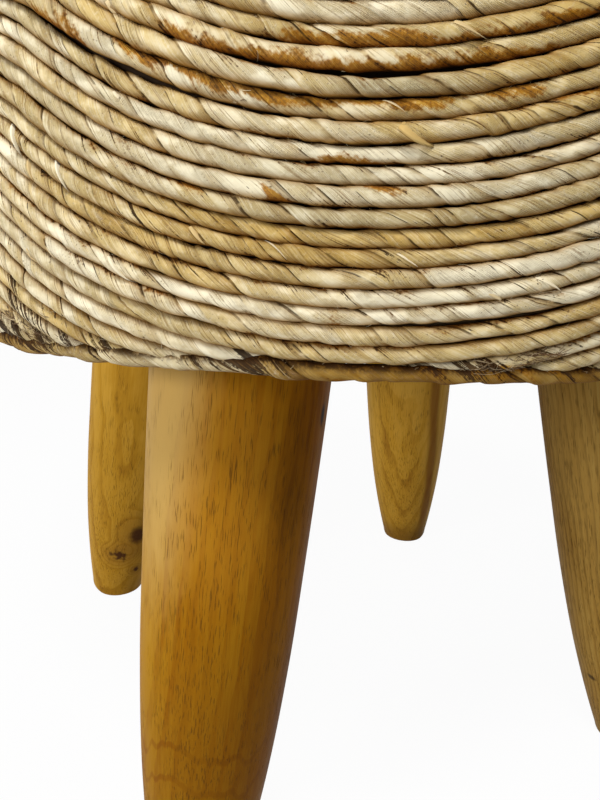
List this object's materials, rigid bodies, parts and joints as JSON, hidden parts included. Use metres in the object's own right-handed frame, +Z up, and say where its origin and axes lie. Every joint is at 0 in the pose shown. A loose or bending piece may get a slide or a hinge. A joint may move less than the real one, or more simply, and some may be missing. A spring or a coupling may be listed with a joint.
{
  "type": "rope stool",
  "caption": "Round low stool: a drum seat wound all over with thin natural rope, on stout tapering wooden legs splayed towards the corners.",
  "frame": {"origin": "on the floor, under the middle of the seat", "axes": "+Z up, -Y towards the front, +X to the right; the legs stand on the diagonals"},
  "size_m": [0.4172, 0.4172, 0.43],
  "materials": {
    "wood": "golden brown hardwood, clear satin, fine straight grain with dark pores",
    "rope": "single ply twisted dry leaf rope, straw to amber, matt with slight leaf sheen",
    "border_rope": "darker twisted leaf rope along the rim, matt",
    "plywood": "bare plywood, matt",
    "foam": "dense upholstery foam, matt",
    "steel": "zinc plated steel"
  },
  "bodies": {
    "root": {"base_board": "plywood", "drum_core": "foam", "hanger_bolt_back_left": "steel", "hanger_bolt_back_right": "steel", "hanger_bolt_front_left": "steel", "hanger_bolt_front_right": "steel", "leg_back_left": "wood", "leg_back_right": "wood", "leg_front_left": "wood", "leg_front_right": "wood", "nut_back_left": "steel", "nut_back_right": "steel", "nut_front_left": "steel", "nut_front_right": "steel", "rope_arch_back_1": "rope", "rope_arch_back_2": "rope", "rope_arch_back_3": "rope", "rope_arch_back_4": "rope", "rope_arch_back_5": "rope", "rope_arch_back_6": "rope", "rope_arch_front_1": "rope", "rope_arch_front_2": "rope", "rope_arch_front_3": "rope", "rope_arch_front_4": "rope", "rope_arch_front_5": "rope", "rope_arch_front_6": "rope", "rope_arch_left_1": "rope", "rope_arch_left_2": "rope", "rope_arch_left_3": "rope", "rope_arch_left_4": "rope", "rope_arch_left_5": "rope", "rope_arch_left_6": "rope", "rope_arch_right_1": "rope", "rope_arch_right_2": "rope", "rope_arch_right_3": "rope", "rope_arch_right_4": "rope", "rope_arch_right_5": "rope", "rope_arch_right_6": "rope", "rope_arch_right_7": "rope", "rope_border": "border_rope", "rope_top": "rope", "rope_winding": "rope", "seat_pad": "foam", "top_board": "plywood", "washer_back_left": "steel", "washer_back_right": "steel", "washer_front_left": "steel", "washer_front_right": "steel"}
  },
  "joints": []
}
